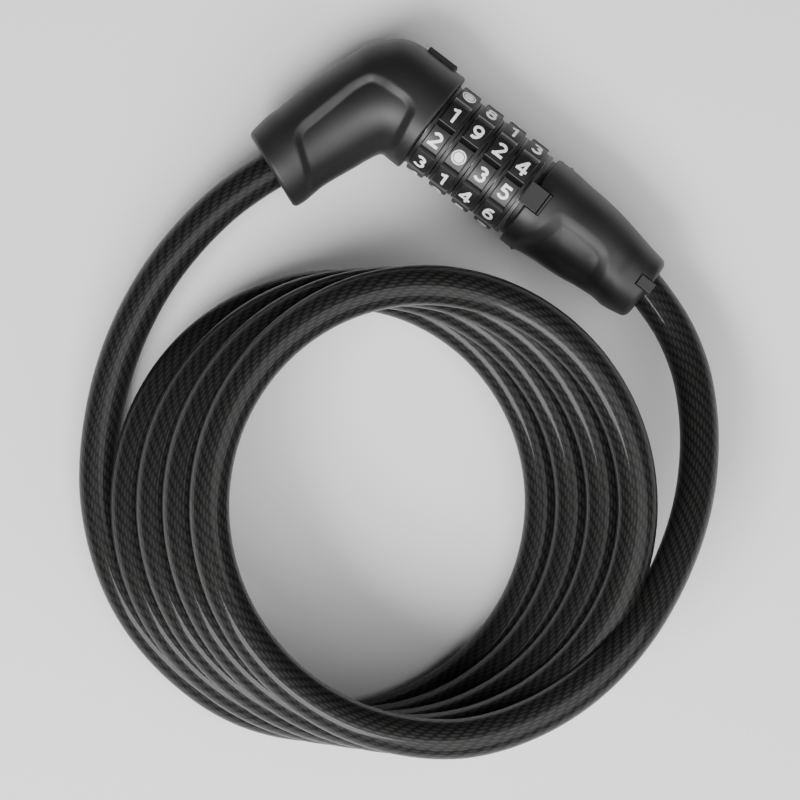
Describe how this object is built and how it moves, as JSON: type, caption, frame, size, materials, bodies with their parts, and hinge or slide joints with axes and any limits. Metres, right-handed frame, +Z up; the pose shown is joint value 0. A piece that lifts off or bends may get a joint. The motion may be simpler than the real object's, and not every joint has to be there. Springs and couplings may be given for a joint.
{
  "type": "combination coil cable lock",
  "caption": "Coiled steel cable joined at both ends by a lock head: a bent housing with number wheels and a plug that pulls out along the wheels' axis.",
  "frame": {"origin": "on the table, under the middle of the lock head's box (housings and wheels, without the cable)", "axes": "+X along the wheels' axis from the elbow to the plug, +Z up from the table, +Y to the side away from the coil"},
  "size_m": [0.1615, 0.1729, 0.0508],
  "materials": {
    "housing": "fine matte moulded black",
    "wheel": "matte black with white numbers",
    "number": "white filled numbers",
    "cast_metal": "dark coated die casting",
    "steel": "plain machined",
    "brass": "plain machined",
    "bush": "smooth black",
    "strand": "bare twisted strand",
    "cable_jacket": "glossy smoke jacket over dark braid"
  },
  "bodies": {
    "root": {"elbow_cover_top": "housing", "elbow_cover_bottom": "housing", "elbow_core": "cast_metal", "base_plate": "cast_metal", "barrel": "steel", "ejector_spring": "steel", "detent_balls": "steel", "detent_springs": "steel", "end_flange": "steel", "retaining_clip": "steel", "elbow_bush": "bush", "elbow_ferrule": "brass", "elbow_ferrule_pin": "steel", "elbow_cable_core": "strand", "cable_coil": "cable_jacket", "cable_elbow_lead": "cable_jacket", "cable_plug_lead": "cable_jacket"},
    "wheel_1": {"number_wheel_1": "wheel", "code_ring_1": "brass"},
    "wheel_2": {"number_wheel_2": "wheel", "code_ring_2": "brass"},
    "wheel_3": {"number_wheel_3": "wheel", "code_ring_3": "brass"},
    "wheel_4": {"number_wheel_4": "wheel", "code_ring_4": "brass"},
    "plug": {"plug_cover": "housing", "plug_core": "cast_metal", "locking_pin": "steel", "cross_pin": "steel", "plug_bush": "bush", "plug_ferrule": "brass", "plug_ferrule_pin": "steel", "plug_cable_core": "strand"}
  },
  "joints": [
    {"name": "wheel_1_turn", "type": "hinge", "parent": "root", "child": "wheel_1", "pos_m": [-0.0138, 0.0114, 0.0142], "axis": [1, 0, 0], "continuous": true},
    {"name": "wheel_2_turn", "type": "hinge", "parent": "root", "child": "wheel_2", "pos_m": [-0.00654, 0.0114, 0.0142], "axis": [1, 0, 0], "continuous": true},
    {"name": "wheel_3_turn", "type": "hinge", "parent": "root", "child": "wheel_3", "pos_m": [0.00072, 0.0114, 0.0142], "axis": [1, 0, 0], "continuous": true},
    {"name": "wheel_4_turn", "type": "hinge", "parent": "root", "child": "wheel_4", "pos_m": [0.00798, 0.0114, 0.0142], "axis": [1, 0, 0], "continuous": true},
    {"name": "plug_slide", "type": "slide", "parent": "root", "child": "plug", "axis": [1, 0, 0], "range_m": [0, 0.04], "deforming": ["cable_plug_lead"]}
  ]
}
